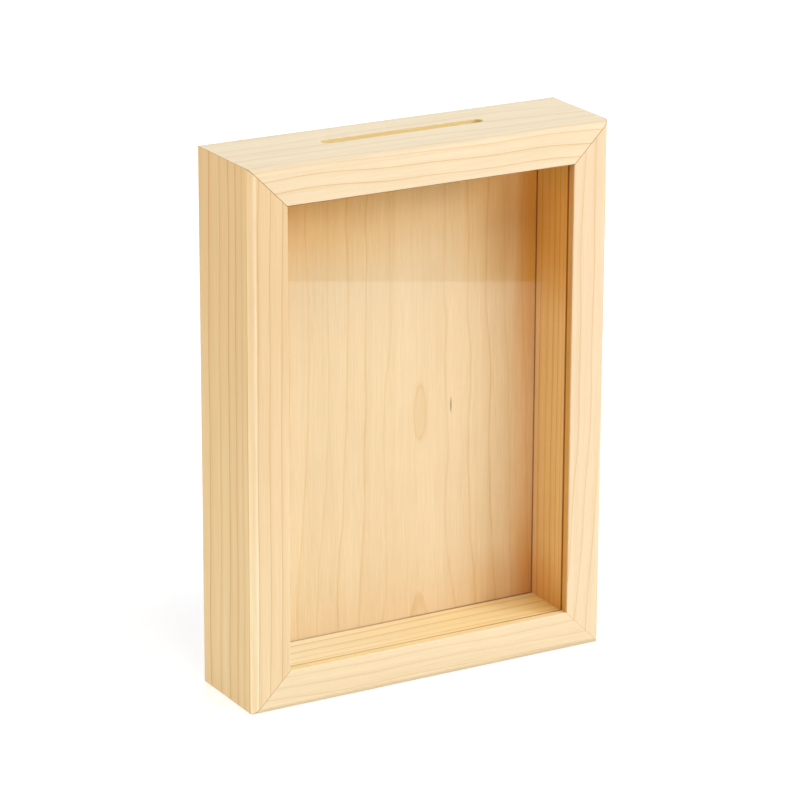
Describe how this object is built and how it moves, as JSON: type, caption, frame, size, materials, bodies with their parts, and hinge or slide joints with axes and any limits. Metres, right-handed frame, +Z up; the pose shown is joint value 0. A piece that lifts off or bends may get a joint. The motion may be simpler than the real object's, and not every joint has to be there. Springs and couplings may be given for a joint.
{
  "type": "wooden money box",
  "caption": "Free-standing wooden money box made like a deep frame, with a glass front, a long slot in the top and a lift-out back held by turn buttons.",
  "frame": {"origin": "middle of the underside of the frame", "axes": "+Z up the box, +X to the right seen from the front, +Y from the glass front to the back"},
  "size_m": [0.152, 0.041, 0.21],
  "materials": {
    "pine_frame": "bare sanded pine, matt",
    "pine_liner": "bare sanded pine, matt",
    "birch_plywood": "bare sanded plywood with a pale face veneer",
    "glass": "clear float glass",
    "hardened_steel": "dull hardened steel",
    "zinc_steel": "zinc-plated sheet steel and wire",
    "brass_plate": "brass-plated steel"
  },
  "bodies": {
    "frame": {"top_rail": "pine_frame", "bottom_rail": "pine_frame", "left_stile": "pine_frame", "right_stile": "pine_frame", "glass_pane": "glass", "top_liner": "pine_liner", "bottom_liner": "pine_liner", "left_liner": "pine_liner", "right_liner": "pine_liner", "corner_v_nails": "hardened_steel"},
    "back": {"back_panel": "birch_plywood", "button_screws": "brass_plate", "hanger_strap": "zinc_steel", "hanger_rivet": "brass_plate"},
    "hanger": {"hanger_ring": "zinc_steel"},
    "button_top": {"turn_button_top": "zinc_steel"},
    "button_right": {"turn_button_right": "zinc_steel"},
    "button_bottom": {"turn_button_bottom": "zinc_steel"},
    "button_left": {"turn_button_left": "zinc_steel"}
  },
  "joints": [
    {"name": "back_lift_out", "type": "slide", "parent": "frame", "child": "back", "axis": [0, 1, 0], "range_m": [0, 0.06]},
    {"name": "button_top_turn", "type": "hinge", "parent": "back", "child": "button_top", "pos_m": [0, 0.0118, 0.1924], "axis": [0, 1, 0], "range_deg": [0, 90]},
    {"name": "button_right_turn", "type": "hinge", "parent": "back", "child": "button_right", "pos_m": [0.0584, 0.0118, 0.105], "axis": [0, 1, 0], "range_deg": [0, 90]},
    {"name": "button_bottom_turn", "type": "hinge", "parent": "back", "child": "button_bottom", "pos_m": [0, 0.0118, 0.0176], "axis": [0, 1, 0], "range_deg": [0, 90]},
    {"name": "button_left_turn", "type": "hinge", "parent": "back", "child": "button_left", "pos_m": [-0.0584, 0.0118, 0.105], "axis": [0, 1, 0], "range_deg": [0, 90]},
    {"name": "hanger_swing", "type": "hinge", "parent": "back", "child": "hanger", "pos_m": [0, 0.01348, 0.166], "axis": [1, 0, 0], "range_deg": [0, 180]}
  ]
}
